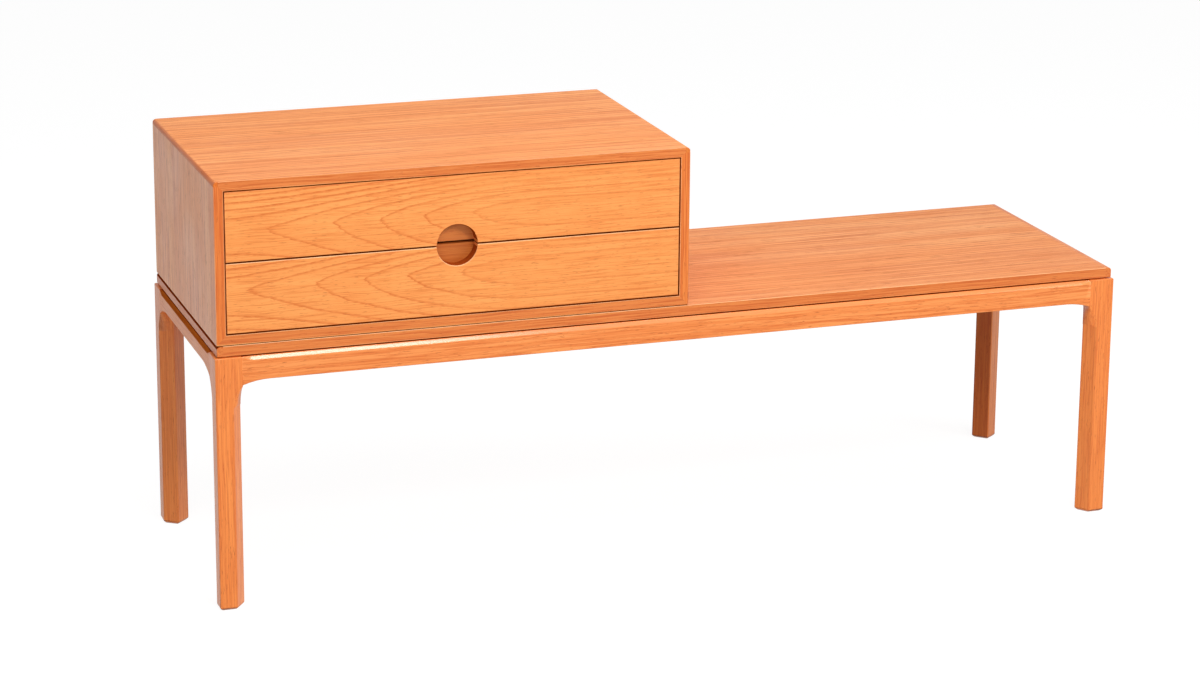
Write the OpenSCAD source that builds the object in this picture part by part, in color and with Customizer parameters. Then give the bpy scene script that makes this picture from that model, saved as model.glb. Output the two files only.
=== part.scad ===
// Telephone bench: a frame on faceted legs carries a seat board and a low chest with two drawers.
// X runs along the bench, the front faces -Y and the floor is at z = 0.
// The origin lies on the floor below the middle of the frame.

/* [Frame] */
// Length of the frame over the legs
frame_l = 1200; // [1000:10:1500]
// Depth of the frame over the legs
frame_d = 356; // [300:2:420]
// Height of the frame's top edge above the floor
frame_h = 322; // [260:2:400]

/* [Legs] */
// Width of the square block at the top of each leg
leg_w = 34; // [30:1:42]
// Width of the two flat outer faces below the block
leg_face_w = 21.5; // [18:0.5:25]
// Distance from each outer face at which its side facet ends
leg_facet_w = 17; // [13:0.5:22]
// Radius of the scooped run-outs at the top of the facets
scoop_r = 47; // [30:1:70]
// Rise of the inner facet's run-out above the run-out beside it
inner_scoop_up = 20; // [16:0.5:22]
// Bevel round the bottom of each foot
foot_bevel = 3; // [1:0.5:5]
// Bevel on the top outer edges of the legs
leg_arris = 1; // [0.5:0.5:2]

/* [Rails] */
// Thickness of the four rails
rail_t = 18; // [15:1:22]
// Height of the front and back rails between their curved ends
long_rail_h = 30; // [26:1:40]
// Length of each curved end of the front and back rails
long_curve_l = 33; // [20:1:45]
// Radius of the curved ends of the front and back rails
long_curve_r = 100; // [80:5:160]
// Height of the left and right rails between their curved ends
side_rail_h = 21; // [20:1:30]
// Length of each curved end of the left and right rails
side_curve_l = 40; // [20:1:50]
// Radius of the curved ends of the left and right rails
side_curve_r = 85; // [70:5:140]
// Height of the stopped bevel along the top of the rails
rail_bevel_h = 5; // [3:0.5:7]
// Depth of the stopped bevel along the top of the rails
rail_bevel_d = 2.5; // [1.5:0.5:4]
// Radius of the run-outs at the ends of the stopped bevel
bevel_end_r = 40; // [20:5:60]

/* [Rail tenons] */
// Length of the tenons that enter the legs
tenon_l = 18; // [14:1:20]
// Thickness of the tenons
tenon_t = 8; // [6:0.5:10]
// Height of the tenons
tenon_h = 18; // [14:1:22]
// Depth of the tenons' top below the rail's top
tenon_down = 6; // [5:0.5:9]
// Room for glue past the end of each tenon
glue_room = 1; // [0.5:0.5:2]

/* [Bearers] */
// Width of the two cross bearers that carry the seat board
bearer_w = 45; // [30:1:60]
// Thickness of the bearers
bearer_t = 20; // [16:1:24]
// Depth of the housings that hold the bearers' ends in the long rails
housing_d = 6; // [4:0.5:9]

/* [Seat board] */
// Thickness of the seat board
board_t = 13; // [11:0.5:22]
// Shadow gap between the frame and the seat board
board_gap = 1.5; // [1:0.5:4]
// Distance of the board's edges behind the frame's outer faces
board_inset = 3; // [1:0.5:8]
// Width of the solid lippings at the board's two ends
end_lip_w = 8; // [6:0.5:14]
// Radius along the top edge of the end lippings
end_lip_r = 4; // [2:0.5:6]
// Width of the lippings along the board's front and back
long_lip_w = 6; // [4:0.5:12]
// Thickness of the face veneers on the board and on the case
veneer_t = 0.8; // [0.5:0.1:1.5]

/* [Case] */
// Length of the drawer case
case_l = 603; // [480:1:760]
// Height of the drawer case
case_h = 202.5; // [180:0.5:260]
// Thickness of the case's panels
case_t = 12; // [11:0.5:18]
// Shadow gap between the seat board and the case
case_gap = 1; // [0.5:0.5:3]
// Depth of the lippings on the case's front edges
case_lip_d = 6; // [4:0.5:12]
// Side of the square corner strips along the case's top edges
strip_w = 6; // [5:0.5:7.5]
// Radius on the outer corner of the corner strips
strip_r = 4.5; // [2:0.5:5]
// Thickness of the splines that lock the mitres
spline_t = 3; // [2:0.5:4]
// Width of the splines across the mitres
spline_w = 8; // [5:0.5:9]
// Distance of the splines from the case's front and back edges
spline_stop = 22; // [12:1:40]
// Thickness of the case's back panel
case_back_t = 5; // [4:0.5:7]
// Width of the rebate that holds the back panel
rebate_w = 7; // [5:0.5:8]

/* [Drawers] */
// Gap round each drawer front
drawer_gap = 1.5; // [1:0.25:3]
// Thickness of the drawer fronts
front_t = 16; // [14:0.5:20]
// Distance of the drawer fronts behind the case's front edges
front_recess = 0.5; // [0:0.25:2]
// Thickness of the drawer sides
drawer_side_t = 12; // [11:0.5:14]
// Height of the drawer sides
drawer_side_h = 68; // [55:1:74]
// Height of the drawer sides' lower edge above the front's lower edge
drawer_side_up = 7; // [5:0.5:9]
// Thickness of the drawer backs
drawer_back_t = 10; // [8:0.5:14]
// Length of the drawer sides behind the drawer backs
side_tail_l = 8; // [5:1:20]
// Thickness of the drawer bottoms
drawer_bottom_t = 4; // [3:0.5:6]
// Height of the drawer bottoms above the sides' lower edges
drawer_bottom_up = 6; // [4:0.5:10]
// Depth of the grooves for the drawer bottoms and backs
groove_d = 5; // [3:0.5:5.5]
// Clear space between the drawers and the case's back panel
drawer_rear_gap = 12; // [6:1:30]
// Clearance round the runners, which the drawers slide with
slide_gap = 0.3; // [0.2:0.05:0.5]

/* [Dovetails] */
// Number of dovetails at each front corner of a drawer
tail_n = 3; // [2:1:4]
// Length of the dovetails, which stay hidden behind the front
tail_l = 11; // [8:0.5:12]
// Width of each dovetail at its root
tail_root_w = 9; // [6:0.5:10]
// Width of each dovetail at its tip
tail_tip_w = 13; // [11:0.5:15]

/* [Finger pull] */
// Radius of the round pull that the two drawer fronts share
pull_r = 26; // [18:1:30]
// Width of the backing behind each half of the pull
backing_w = 80; // [70:1:110]
// Height of the backing
backing_h = 36; // [34:1:44]
// Thickness of the backing
backing_t = 8; // [5:0.5:12]
// Distance of the backing behind the front's edge
backing_edge = 1; // [0.5:0.25:2]

/* [Runners] */
// Thickness of the runners on the case's sides
runner_t = 7; // [5:0.5:8]
// Height of the runners
runner_h = 11; // [9:0.5:14]

/* [Screws and spacers] */
// Shank diameter of the screws in the board and the case's bottom
screw_d = 4; // [3:0.5:5]
// Head diameter of these screws
screw_head_d = 8; // [7:0.5:9]
// Depth by which these screws enter the piece that they hold
screw_bite = 9; // [6:0.5:10]
// Shank diameter of the small screws
small_screw_d = 2.5; // [2:0.5:3]
// Head diameter of the small screws
small_head_d = 5; // [4:0.5:5.5]
// Depth by which the small screws enter the piece that they hold
small_bite = 8; // [6:0.5:9]
// Width of the screw slots
slot_w = 0.8; // [0.6:0.1:1.2]
// Clearance round each screw
screw_gap = 0.1; // [0.05:0.05:0.2]
// Diameter of the spacers between the board and the case
spacer_d = 18; // [14:1:26]

/* [Hidden] */

$fn = 64;
// Overrun of every cut past the face that it opens
over = 2;

// Shares of the foot bevel on the leg's faces, planed unevenly so that no two neighbours match
foot_bevel_shares = [1, 0.85, 1, 0.85, 0.92];
// Shares of the frame's length at which the bearers lie, from its middle
bearer_share = 0.25;
// Shares of the frame's depth at which each bearer's screws lie, from its middle
bearer_screw_shares = [-0.32, 0, 0.32];
// Shares of the case's length and depth at which its screws and spacers lie, from its middle
case_screw_l_share = 0.4;
case_screw_d_share = 0.36;
// Shares of the back panel's length and height at which its screws lie, from its middle
back_screw_l_shares = [-0.45, -0.15, 0.15, 0.45];
back_screw_h_share = 0.15;
// Shares of a runner's length at which its screws lie, from its front end
runner_screw_shares = [0.12, 0.5, 0.88];
// Shares of a drawer's length at which the screws of its bottom lie, from its middle
bottom_screw_shares = [-0.42, -0.14, 0.14, 0.42];
// Share of a screw slot's depth in the height of its head
slot_depth_share = 0.5;

// Heights of the main pieces
board_z = frame_h + board_gap;
board_top = board_z + board_t;
case_z = board_top + case_gap;
case_mid_z = case_z + case_h / 2;

// Outline of the seat board and place of the case on it
board_l = frame_l - 2 * board_inset;
board_d = frame_d - 2 * board_inset;
case_d = board_d;
case_cx = (case_l - board_l) / 2;

// Distance of the case's sides from its middle, and their lengths: top, right, bottom, left
case_reach = [case_h / 2, case_l / 2, case_h / 2, case_l / 2];
case_run = [case_l, case_h, case_l, case_h];

// Opening of the case and the drawer fronts in it
open_l = case_l - 2 * case_t;
open_h = case_h - 2 * case_t;
front_l = open_l - 2 * drawer_gap;
front_h = (open_h - 3 * drawer_gap) / 2;
front_y = front_recess - case_d / 2;
lower_front_z = case_z + case_t + drawer_gap;
upper_front_z = lower_front_z + front_h + drawer_gap;

// Drawer box, measured from the front's face and lower edge
drawer_end = case_d - front_recess - case_back_t - drawer_rear_gap;
drawer_side_l = drawer_end - front_t;
bottom_z = drawer_side_up + drawer_bottom_up;
back_y = drawer_end - side_tail_l - drawer_back_t;
groove_l = front_l - 2 * drawer_side_t + 2 * groove_d;
runner_z = drawer_side_up + drawer_side_h / 2;
runner_front = front_t + slide_gap;
runner_l = case_d - front_recess - case_back_t - runner_front;

// Rise of a scoop of radius r over the depth d at which it leaves the wood
function scoop_rise(d, r) = sqrt(r * r - (r - d) * (r - d));
// Drop of an arc of radius r over the length l
function arc_drop(l, r) = r - sqrt(r * r - l * l);
// Distance of point c from the line through a and b
function line_gap(a, b, c) = abs(cross(b - a, c - a)) / norm(b - a);

// Heights at which the rails' lower edges meet the legs
long_rail_end = frame_h - long_rail_h - arc_drop(long_curve_l, long_curve_r);
side_rail_end = frame_h - side_rail_h - arc_drop(side_curve_l, side_curve_r);

// Plan of the leg's shaft, from the outer corner of the block
leg_plan = [
    [0, 0],
    [leg_face_w, 0],
    [leg_w, leg_facet_w],
    [leg_facet_w, leg_w],
    [0, leg_face_w]
];
facet_rise = scoop_rise(line_gap(leg_plan[1], leg_plan[2], [leg_w, 0]), scoop_r);
// Height up to which the shaft is a plain prism, a leg's width below the lowest run-out
shaft_h = long_rail_end - facet_rise - leg_w;

// Places its children at one corner of the frame, which lies at their origin
module at_corner(right, back) {
    mirror([right, 0, 0])
        mirror([0, back, 0])
            translate([-frame_l / 2, -frame_d / 2, 0])
                children();
}

// Cutter that bevels the edge along X at the origin by d, with the wood towards +Y and +Z
module edge_bevel(l, d) {
    translate([-leg_w, d, 0])
        rotate([45, 0, 0])
            translate([0, -leg_w, -leg_w])
                cube([l + 2 * leg_w, leg_w, 2 * leg_w]);
}

// Wood above top_z that a facet of length l leaves where it scoops out of the block
module scoop_stop(l, top_z) {
    difference() {
        translate([-2 * over, -leg_w - over, top_z])
            cube([l + 4 * over, leg_w + 2 * over, frame_h]);
        translate([-3 * over, -scoop_r, top_z])
            rotate([0, 90, 0])
                cylinder(h = l + 6 * over, r = scoop_r, $fn = 128);
    }
}

// What a facet from p to q takes off the block up to top_z, where it scoops out of the wood
module facet_cut(p, q, top_z) {
    run = q - p;
    translate([p.x, p.y, 0])
        rotate([0, 0, atan2(run.y, run.x)])
            difference() {
                translate([-over, -leg_w, -over])
                    cube([norm(run) + 2 * over, leg_w, frame_h + 2 * over]);
                scoop_stop(norm(run), top_z);
            }
}

// Space for a rail's tenon, which enters along X at the far face of the leg's block
module mortise() {
    depth = tenon_l + glue_room;
    translate([leg_w - depth, (rail_t - tenon_t) / 2, frame_h - tenon_down - tenon_h])
        cube([depth + over, tenon_t, tenon_h]);
}

// The plain shaft and, on it, the square block from which the facets scoop out
module leg_wood() {
    linear_extrude(shaft_h)
        polygon(leg_plan);
    difference() {
        translate([0, 0, shaft_h])
            cube([leg_w, leg_w, frame_h - shaft_h]);
        facet_cut(leg_plan[1], leg_plan[2], long_rail_end - facet_rise);
        facet_cut(leg_plan[2], leg_plan[3], long_rail_end - facet_rise + inner_scoop_up);
        facet_cut(leg_plan[3], leg_plan[4], side_rail_end - facet_rise);
    }
}

// A leg with the outer corner of its block at the origin and the bench towards +X and +Y
module leg() {
    difference() {
        leg_wood();
        for (i = [0:len(leg_plan) - 1]) {
            p = leg_plan[i];
            run = leg_plan[(i + 1) % len(leg_plan)] - p;
            translate([p.x, p.y, 0])
                rotate([0, 0, atan2(run.y, run.x)])
                    edge_bevel(norm(run), foot_bevel * foot_bevel_shares[i]);
        }
        mortise();
        mirror([1, -1, 0])
            mortise();
        translate([0, 0, frame_h])
            mirror([0, 0, 1]) {
                edge_bevel(leg_w, leg_arris);
                mirror([1, -1, 0])
                    edge_bevel(leg_w, leg_arris);
            }
    }
}

// Wood that the cutter of a rail's bevel leaves where it scoops out at a leg
module bevel_stop(stop, slope_l) {
    difference() {
        translate([-over, -rail_t - over, -2 * over])
            cube([stop + over, rail_t + 2 * over, slope_l + 4 * over]);
        translate([stop, -bevel_end_r, -3 * over])
            cylinder(h = slope_l + 6 * over, r = bevel_end_r, $fn = 128);
    }
}

// Bevel along the top edge of a rail of length l, between its two scooped ends
module stopped_bevel(l) {
    slope_l = norm([rail_bevel_h, rail_bevel_d]);
    stop = scoop_rise(rail_bevel_h * rail_bevel_d / slope_l, bevel_end_r);
    translate([0, 0, frame_h - rail_bevel_h])
        rotate([-atan2(rail_bevel_d, rail_bevel_h), 0, 0])
            difference() {
                translate([0, -rail_t, -over])
                    cube([l, rail_t, slope_l + 2 * over]);
                bevel_stop(stop, slope_l);
                translate([l, 0, 0])
                    mirror([1, 0, 0])
                        bevel_stop(stop, slope_l);
            }
}

// A rail from its first shoulder along X, with its outer face at y = 0
module rail(l, h, curve_l, curve_r) {
    low = frame_h - h;
    drop = arc_drop(curve_l, curve_r);
    difference() {
        union() {
            translate([0, 0, low - drop])
                cube([l, rail_t, h + drop]);
            translate([-tenon_l, (rail_t - tenon_t) / 2, frame_h - tenon_down - tenon_h])
                cube([l + 2 * tenon_l, tenon_t, tenon_h]);
        }
        translate([curve_l, -over, low - drop - over])
            cube([l - 2 * curve_l, rail_t + 2 * over, drop + over]);
        for (x = [curve_l, l - curve_l])
            translate([x, -over, low - curve_r])
                rotate([-90, 0, 0])
                    cylinder(h = rail_t + 2 * over, r = curve_r, $fn = 180);
        stopped_bevel(l);
    }
}

// The front rail in its place, with the housings of the two bearers
module long_rail() {
    difference() {
        translate([leg_w - frame_l / 2, -frame_d / 2, 0])
            rail(frame_l - 2 * leg_w, long_rail_h, long_curve_l, long_curve_r);
        for (side = [-1, 1])
            translate([side * frame_l * bearer_share, 0, 0])
                bearer_bar(over);
    }
}

// The right rail in its place
module side_rail() {
    translate([frame_l / 2, leg_w - frame_d / 2, 0])
        rotate([0, 0, 90])
            rail(frame_d - 2 * leg_w, side_rail_h, side_curve_l, side_curve_r);
}

// A bearer's bar across the frame, with its top raised by up
module bearer_bar(up) {
    l = frame_d - 2 * rail_t + 2 * housing_d;
    translate([-bearer_w / 2, -l / 2, board_z - bearer_t])
        cube([bearer_w, l, bearer_t + up]);
}

// Countersunk screw up from the origin, with its slotted head below
module screw(d, head_d, l) {
    head_h = (head_d - d) / 2;
    difference() {
        union() {
            cylinder(h = head_h, d1 = head_d, d2 = d);
            cylinder(h = l - d, d = d);
            translate([0, 0, l - d])
                cylinder(h = d, d1 = d, d2 = 0);
        }
        translate([-head_d, -slot_w / 2, -over])
            cube([2 * head_d, slot_w, over + head_h * slot_depth_share]);
    }
}

// Hole for such a screw, open below
module screw_hole(d, head_d, l) {
    head_h = (head_d - d) / 2;
    translate([0, 0, -over])
        cylinder(h = over, d = head_d + 2 * screw_gap);
    cylinder(h = head_h, d1 = head_d + 2 * screw_gap, d2 = d + 2 * screw_gap);
    cylinder(h = l + screw_gap, d = d + 2 * screw_gap);
}

// Places its children at each screw of the bearer that lies at x
module at_board_screws(x) {
    for (share = bearer_screw_shares)
        translate([x, share * frame_d, board_z - bearer_t])
            children();
}

// Hole through a bearer into the seat board
module board_screw_hole() {
    screw_hole(screw_d, screw_head_d, bearer_t + screw_bite);
}

// The right bearer, or the left one where side is -1
module bearer(side) {
    x = side * frame_l * bearer_share;
    difference() {
        translate([x, 0, 0])
            bearer_bar(0);
        at_board_screws(x)
            board_screw_hole();
    }
}

// Places its children at the four screws of the case, on the board's underside
module at_case_screws() {
    for (i = [-1, 1], j = [-1, 1])
        translate([case_cx + i * case_l * case_screw_l_share, j * case_d * case_screw_d_share, board_z])
            children();
}

// Hole through the seat board and a spacer into the case's bottom
module case_screw_hole() {
    screw_hole(screw_d, screw_head_d, board_t + case_gap + screw_bite);
}

// Lipping along the board's front, made deeper to the front by grow
module board_lip(grow) {
    l = board_l - 2 * end_lip_w;
    translate([-l / 2, -board_d / 2 - grow, board_z + veneer_t])
        cube([l, long_lip_w + grow, board_t - 2 * veneer_t]);
}

// Cutter that rounds the edge along Y at the origin, with the wood towards -X and -Z
module edge_round(l, r) {
    difference() {
        translate([-r, -over, -r])
            cube([r + over, l + 2 * over, r + over]);
        translate([-r, -2 * over, -r])
            rotate([-90, 0, 0])
                cylinder(h = l + 4 * over, r = r);
    }
}

// The board's right end lipping
module board_end_lip() {
    translate([board_l / 2, -board_d / 2, board_z])
        difference() {
            translate([-end_lip_w, 0, 0])
                cube([end_lip_w, board_d, board_t]);
            translate([0, 0, board_t])
                edge_round(board_d, end_lip_r);
        }
}

// Places its children at the middle of the case
module in_case() {
    translate([case_cx, 0, case_mid_z])
        children();
}

// Places its children on one of the case's sides: 0 top, 1 right, 2 bottom, 3 left
module on_case_side(i) {
    rotate([0, 90 * i, 0])
        translate([0, 0, case_reach[i]])
            children();
}

// Bar of depth d below the side i, mitred at both ends and v inside the panel's faces
module mitred_bar(i, d, v) {
    half = case_run[i] / 2;
    rotate([90, 0, 0])
        linear_extrude(d, center = true)
            polygon([
                [v - half, -v],
                [half - v, -v],
                [half - case_t + v, v - case_t],
                [case_t - v - half, v - case_t]
            ]);
}

// Lipping in the front edge of the case's side i
module case_lip(i) {
    on_case_side(i)
        translate([0, (case_lip_d - case_d) / 2, 0])
            mitred_bar(i, case_lip_d, veneer_t);
}

// Corner strip along the case's top right edge, with grow over its own ends
module corner_strip(grow) {
    translate([case_l / 2 - strip_w, -case_d / 2 - grow, case_h / 2 - strip_w])
        cube([strip_w + grow, case_d + 2 * grow, strip_w + grow]);
}

// Spline across the mitre at the case's top right edge, made wider by room at both edges
module spline(room) {
    middle = (case_t + strip_w) / 2;
    l = case_d - 2 * spline_stop;
    translate([case_l / 2 - middle, 0, case_h / 2 - middle])
        rotate([0, 45, 0])
            cube([spline_w + 2 * room, l, spline_t], center = true);
}

// The back panel, or its rebate where grow is over
module back_panel(grow) {
    translate([-open_l / 2 - rebate_w, case_d / 2 - case_back_t, -open_h / 2 - rebate_w])
        cube([open_l + 2 * rebate_w, case_back_t + grow, open_h + 2 * rebate_w]);
}

// Places its children at the screws of the back panel, which point forward
module at_back_screws() {
    edge_x = (open_l + rebate_w) / 2;
    edge_z = (open_h + rebate_w) / 2;
    for (share = back_screw_l_shares, side = [-1, 1])
        translate([share * open_l, case_d / 2, side * edge_z])
            rotate([90, 0, 0])
                children();
    for (side = [-1, 1], up = [-1, 1])
        translate([side * edge_x, case_d / 2, up * open_h * back_screw_h_share])
            rotate([90, 0, 0])
                children();
}

// Veneered panel on the case's side i, without the holes of its screws
module case_panel(i) {
    difference() {
        on_case_side(i)
            mitred_bar(i, case_d, 0);
        on_case_side(i)
            translate([0, (case_lip_d - case_d - over) / 2, 0])
                mitred_bar(i, case_lip_d + over, veneer_t);
        for (right = [0, 1], low = [0, 1])
            mirror([right, 0, 0])
                mirror([0, 0, low])
                    spline(glue_room);
        for (right = [0, 1])
            mirror([right, 0, 0])
                corner_strip(over);
        back_panel(over);
        at_back_screws()
            screw_hole(small_screw_d, small_head_d, case_back_t + small_bite);
    }
}

// Places its children at the screws of the runners on the case's right side, which point outward
module at_runner_screws(front_z) {
    for (share = runner_screw_shares)
        translate([
            open_l / 2 - runner_t,
            front_y + runner_front + share * runner_l,
            front_z + runner_z - case_mid_z
        ])
            rotate([0, 90, 0])
                children();
}

// Hole through a runner into the case's side
module runner_screw_hole() {
    screw_hole(small_screw_d, small_head_d, runner_t + small_bite);
}

// The case's right side panel with the holes of both runners
module case_side() {
    difference() {
        case_panel(1);
        for (front_z = [lower_front_z, upper_front_z])
            at_runner_screws(front_z)
                runner_screw_hole();
    }
}

// Runner on the case's right side for the drawer whose front stands at front_z
module runner(front_z) {
    difference() {
        translate([
            open_l / 2 - runner_t,
            front_y + runner_front,
            front_z + runner_z - runner_h / 2 - case_mid_z
        ])
            cube([runner_t, runner_l, runner_h]);
        at_runner_screws(front_z)
            runner_screw_hole();
    }
}

// Places its children at the lower edge of the drawer front that stands at front_z
module in_drawer(front_z) {
    translate([case_cx, front_y, front_z])
        children();
}

// Height of the pull's middle above the lower edge of a front: 1 upper drawer, 0 lower drawer
function pull_z(up) = up == 1 ? -drawer_gap / 2 : front_h + drawer_gap / 2;
function backing_z(up) = up == 1 ? backing_edge : front_h - backing_edge - backing_h;

// Tails of the right side's front end, which reach into the front
module tails() {
    pitch = drawer_side_h / tail_n;
    translate([front_l / 2 - drawer_side_t, front_t, drawer_side_up + pitch / 2])
        for (i = [0:tail_n - 1])
            translate([0, 0, i * pitch])
                rotate([90, 0, 90])
                    linear_extrude(drawer_side_t)
                        polygon([
                            [0, -tail_root_w / 2],
                            [0, tail_root_w / 2],
                            [-tail_l, tail_tip_w / 2],
                            [-tail_l, -tail_tip_w / 2]
                        ]);
}

// Room of a drawer's bottom, from the front's groove to the drawer's back
module bottom_room() {
    translate([-groove_l / 2, front_t - groove_d, bottom_z])
        cube([groove_l, back_y + drawer_back_t - front_t + groove_d, drawer_bottom_t]);
}

// Space round the upper drawer's backing, which the drawer's bottom and its groove leave out
module backing_notch(up) {
    if (up == 1)
        translate([-backing_w / 2, 0, 0])
            cube([backing_w, front_t + backing_t, front_h]);
}

// Front with its half of the round pull, the sockets of the dovetails and the bottom's groove
module drawer_front(up) {
    difference() {
        translate([-front_l / 2, 0, 0])
            cube([front_l, front_t, front_h]);
        translate([0, -over, pull_z(up)])
            rotate([-90, 0, 0])
                cylinder(h = front_t + 2 * over, r = pull_r, $fn = 128);
        for (left = [0, 1])
            mirror([left, 0, 0])
                tails();
        difference() {
            bottom_room();
            backing_notch(up);
        }
    }
}

// Plate behind a front's half of the pull
module pull_backing(up) {
    translate([-backing_w / 2, front_t, backing_z(up)])
        cube([backing_w, backing_t, backing_h]);
}

// The right side of a drawer, with its runner's groove outside and the bottom's and back's inside
module drawer_side() {
    groove_h = runner_h + 2 * slide_gap;
    groove_in = runner_t - drawer_gap + slide_gap;
    difference() {
        union() {
            translate([front_l / 2 - drawer_side_t, front_t, drawer_side_up])
                cube([drawer_side_t, drawer_side_l, drawer_side_h]);
            tails();
        }
        translate([front_l / 2 - groove_in, front_t, runner_z - groove_h / 2])
            cube([groove_in + over, drawer_side_l + over, groove_h]);
        bottom_room();
        drawer_back_room();
    }
}

// Room of a drawer's back between the grooves in the sides
module drawer_back_room() {
    translate([-groove_l / 2, back_y, bottom_z + drawer_bottom_t])
        cube([groove_l, drawer_back_t, drawer_side_h - drawer_bottom_up - drawer_bottom_t]);
}

// Places its children at the screws that hold a drawer's bottom under its back
module at_bottom_screws() {
    for (share = bottom_screw_shares)
        translate([share * front_l, back_y + drawer_back_t / 2, bottom_z])
            children();
}

// Hole through a drawer's bottom into its back
module bottom_screw_hole() {
    screw_hole(small_screw_d, small_head_d, drawer_bottom_t + small_bite);
}

// Back of a drawer, in the grooves of its sides
module drawer_back() {
    difference() {
        drawer_back_room();
        at_bottom_screws()
            bottom_screw_hole();
    }
}

// Bottom of a drawer, screwed up into its back
module drawer_bottom(up) {
    difference() {
        bottom_room();
        backing_notch(up);
        at_bottom_screws()
            bottom_screw_hole();
    }
}

// Screws of a drawer's bottom
module bottom_screws() {
    at_bottom_screws()
        screw(small_screw_d, small_head_d, drawer_bottom_t + small_bite);
}

module front_left_leg() { color("sandybrown") at_corner(0, 0) leg(); }
module front_right_leg() { color("sandybrown") at_corner(1, 0) leg(); }
module back_left_leg() { color("peru") at_corner(0, 1) leg(); }
module back_right_leg() { color("peru") at_corner(1, 1) leg(); }

module front_rail() { color("sandybrown") long_rail(); }
module back_rail() { color("peru") mirror([0, 1, 0]) long_rail(); }
module left_rail() { color("peru") mirror([1, 0, 0]) side_rail(); }
module right_rail() { color("peru") side_rail(); }

module left_bearer() { color("burlywood") bearer(-1); }
module right_bearer() { color("burlywood") bearer(1); }

module board_screws() {
    color("silver")
        for (side = [-1, 1])
            at_board_screws(side * frame_l * bearer_share)
                screw(screw_d, screw_head_d, bearer_t + screw_bite);
}

module seat_board() {
    l = board_l - 2 * end_lip_w;
    color("lightsalmon")
        difference() {
            translate([-l / 2, -board_d / 2, board_z])
                cube([l, board_d, board_t]);
            for (back = [0, 1])
                mirror([0, back, 0])
                    board_lip(over);
            for (side = [-1, 1])
                at_board_screws(side * frame_l * bearer_share)
                    board_screw_hole();
            at_case_screws()
                case_screw_hole();
        }
}

module board_front_lipping() { color("chocolate") board_lip(0); }
module board_back_lipping() { color("chocolate") mirror([0, 1, 0]) board_lip(0); }
module board_left_lipping() { color("chocolate") mirror([1, 0, 0]) board_end_lip(); }
module board_right_lipping() { color("chocolate") board_end_lip(); }

module case_spacers() {
    color("saddlebrown")
        at_case_screws()
            translate([0, 0, board_t])
                difference() {
                    cylinder(h = case_gap, d = spacer_d);
                    translate([0, 0, -over])
                        cylinder(h = case_gap + 2 * over, d = screw_d + 2 * screw_gap);
                }
}

module case_screws() {
    color("silver")
        at_case_screws()
            screw(screw_d, screw_head_d, board_t + case_gap + screw_bite);
}

module case_top() { color("lightsalmon") in_case() case_panel(0); }
module case_right_side() { color("rosybrown") in_case() case_side(); }

module case_bottom() {
    color("peru")
        difference() {
            in_case()
                case_panel(2);
            at_case_screws()
                case_screw_hole();
        }
}

module case_left_side() { color("rosybrown") in_case() mirror([1, 0, 0]) case_side(); }

module case_top_lipping() {
    color("chocolate")
        in_case()
            difference() {
                case_lip(0);
                for (right = [0, 1])
                    mirror([right, 0, 0])
                        corner_strip(over);
            }
}

// The right lipping, cut for the corner strip above it
module side_lip() {
    difference() {
        case_lip(1);
        corner_strip(over);
    }
}

module case_right_lipping() { color("chocolate") in_case() side_lip(); }
module case_bottom_lipping() { color("chocolate") in_case() case_lip(2); }
module case_left_lipping() { color("chocolate") in_case() mirror([1, 0, 0]) side_lip(); }

// The right corner strip with its rounded edge
module rounded_strip() {
    difference() {
        corner_strip(0);
        translate([case_l / 2, -case_d / 2, case_h / 2])
            edge_round(case_d, strip_r);
    }
}

module case_left_corner_strip() { color("chocolate") in_case() mirror([1, 0, 0]) rounded_strip(); }
module case_right_corner_strip() { color("chocolate") in_case() rounded_strip(); }

module mitre_splines() {
    color("tan")
        in_case()
            for (right = [0, 1], low = [0, 1])
                mirror([right, 0, 0])
                    mirror([0, 0, low])
                        spline(0);
}

module case_back() {
    color("burlywood")
        in_case()
            difference() {
                back_panel(0);
                at_back_screws()
                    screw_hole(small_screw_d, small_head_d, case_back_t + small_bite);
            }
}

module case_back_screws() {
    color("silver")
        in_case()
            at_back_screws()
                screw(small_screw_d, small_head_d, case_back_t + small_bite);
}

module upper_left_runner() { color("wheat") in_case() mirror([1, 0, 0]) runner(upper_front_z); }
module upper_right_runner() { color("wheat") in_case() runner(upper_front_z); }
module lower_left_runner() { color("wheat") in_case() mirror([1, 0, 0]) runner(lower_front_z); }
module lower_right_runner() { color("wheat") in_case() runner(lower_front_z); }

module runner_screws() {
    color("silver")
        in_case()
            for (left = [0, 1], front_z = [lower_front_z, upper_front_z])
                mirror([left, 0, 0])
                    at_runner_screws(front_z)
                        screw(small_screw_d, small_head_d, runner_t + small_bite);
}

module upper_drawer_front() { color("sandybrown") in_drawer(upper_front_z) drawer_front(1); }
module upper_pull_backing() { color("sienna") in_drawer(upper_front_z) pull_backing(1); }
module upper_drawer_left_side() { color("wheat") in_drawer(upper_front_z) mirror([1, 0, 0]) drawer_side(); }
module upper_drawer_right_side() { color("wheat") in_drawer(upper_front_z) drawer_side(); }
module upper_drawer_back() { color("wheat") in_drawer(upper_front_z) drawer_back(); }
module upper_drawer_bottom() { color("burlywood") in_drawer(upper_front_z) drawer_bottom(1); }
module upper_bottom_screws() { color("silver") in_drawer(upper_front_z) bottom_screws(); }

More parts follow.
